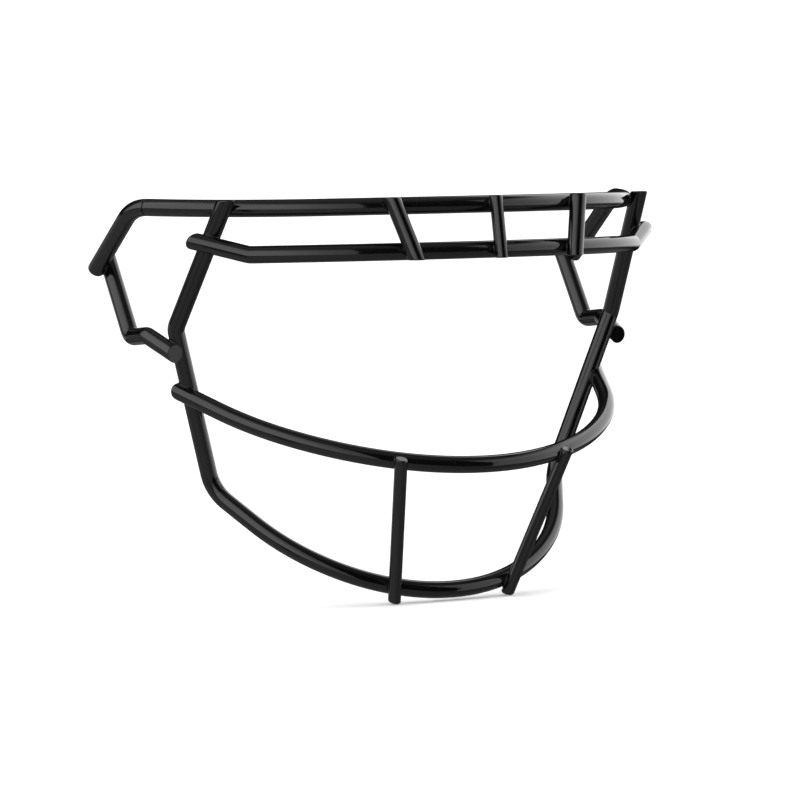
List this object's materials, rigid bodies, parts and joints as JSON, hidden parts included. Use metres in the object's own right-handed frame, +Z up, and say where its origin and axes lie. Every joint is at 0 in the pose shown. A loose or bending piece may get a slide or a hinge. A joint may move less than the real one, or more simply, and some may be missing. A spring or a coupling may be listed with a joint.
{
  "type": "football helmet face guard",
  "caption": "Welded wire face guard for a football helmet: brow, eye and middle bars and a chin loop on bent uprights, with short struts and rear side loops, all in gloss black.",
  "frame": {"origin": "bottom centre of the guard's bounding box", "axes": "+X to the wearer's left, +Y from the face towards the back of the head, +Z up, with the front span of the brow bar level"},
  "size_m": [0.2264, 0.1168, 0.1539],
  "materials": {
    "coated_wire": "gloss black plastic coating over bent steel wire",
    "coated_weld": "gloss black coating over a weld bead"
  },
  "bodies": {
    "root": {"brow_bar": "coated_wire", "frame_wire": "coated_wire", "eye_bar": "coated_wire", "middle_bar": "coated_wire", "upper_strut_centre": "coated_wire", "upper_strut_left": "coated_wire", "lower_strut_left": "coated_wire", "side_loop_left": "coated_wire", "upper_strut_right": "coated_wire", "lower_strut_right": "coated_wire", "side_loop_right": "coated_wire", "weld_brow_strut_centre": "coated_weld", "weld_eye_strut_centre": "coated_weld", "weld_brow_upright_left": "coated_weld", "weld_eye_upright_left": "coated_weld", "weld_middle_upright_left": "coated_weld", "weld_brow_strut_left": "coated_weld", "weld_eye_strut_left": "coated_weld", "weld_middle_strut_left": "coated_weld", "weld_chin_strut_left": "coated_weld", "weld_wing_loop_left": "coated_weld", "weld_upright_loop_left": "coated_weld", "weld_brow_upright_right": "coated_weld", "weld_eye_upright_right": "coated_weld", "weld_middle_upright_right": "coated_weld", "weld_brow_strut_right": "coated_weld", "weld_eye_strut_right": "coated_weld", "weld_middle_strut_right": "coated_weld", "weld_chin_strut_right": "coated_weld", "weld_wing_loop_right": "coated_weld", "weld_upright_loop_right": "coated_weld"}
  },
  "joints": []
}
